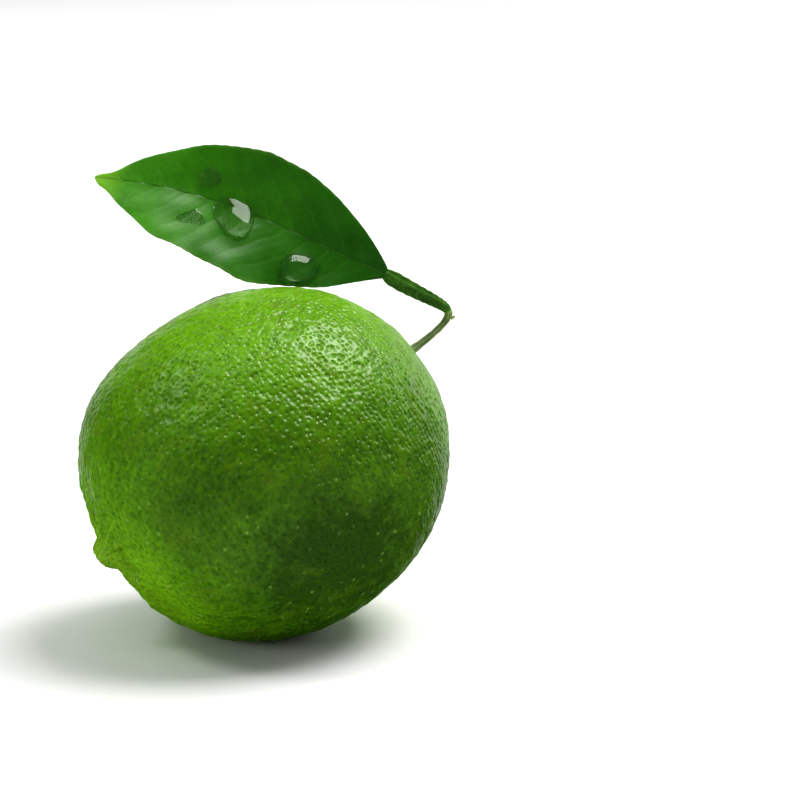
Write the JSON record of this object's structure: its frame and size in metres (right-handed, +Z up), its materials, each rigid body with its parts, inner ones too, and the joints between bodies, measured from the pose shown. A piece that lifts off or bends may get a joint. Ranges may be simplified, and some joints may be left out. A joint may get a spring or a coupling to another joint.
{
  "type": "lime",
  "caption": "Whole green lime lying on a small flat spot, with a blunt nipple, a starry calyx, a thin bent stalk and a folded glossy leaf that rests on top.",
  "frame": {"origin": "middle of the small flat spot that the fruit rests on", "axes": "+Z up, away from the surface; the nipple points to -X and a little down, the stem end to +X; the leaf's upper face looks to -Y"},
  "size_m": [0.0616, 0.0569, 0.0783],
  "materials": {
    "lime_peel": "waxy, glossy, pitted with oil glands",
    "calyx": "dry, matt, green-brown",
    "fruit_stalk": "matt, faintly ridged",
    "bud": "matt",
    "leaf_stalk": "satin",
    "leaf": "glossy above, paler and matt below",
    "water": "clear, wet"
  },
  "bodies": {
    "root": {"fruit": "lime_peel", "calyx": "calyx", "fruit_stalk": "fruit_stalk", "bud": "bud", "leaf_stalk": "leaf_stalk", "leaf_blade": "leaf", "water_drop_1": "water", "water_drop_2": "water", "water_drop_3": "water", "water_drop_4": "water"}
  },
  "joints": []
}
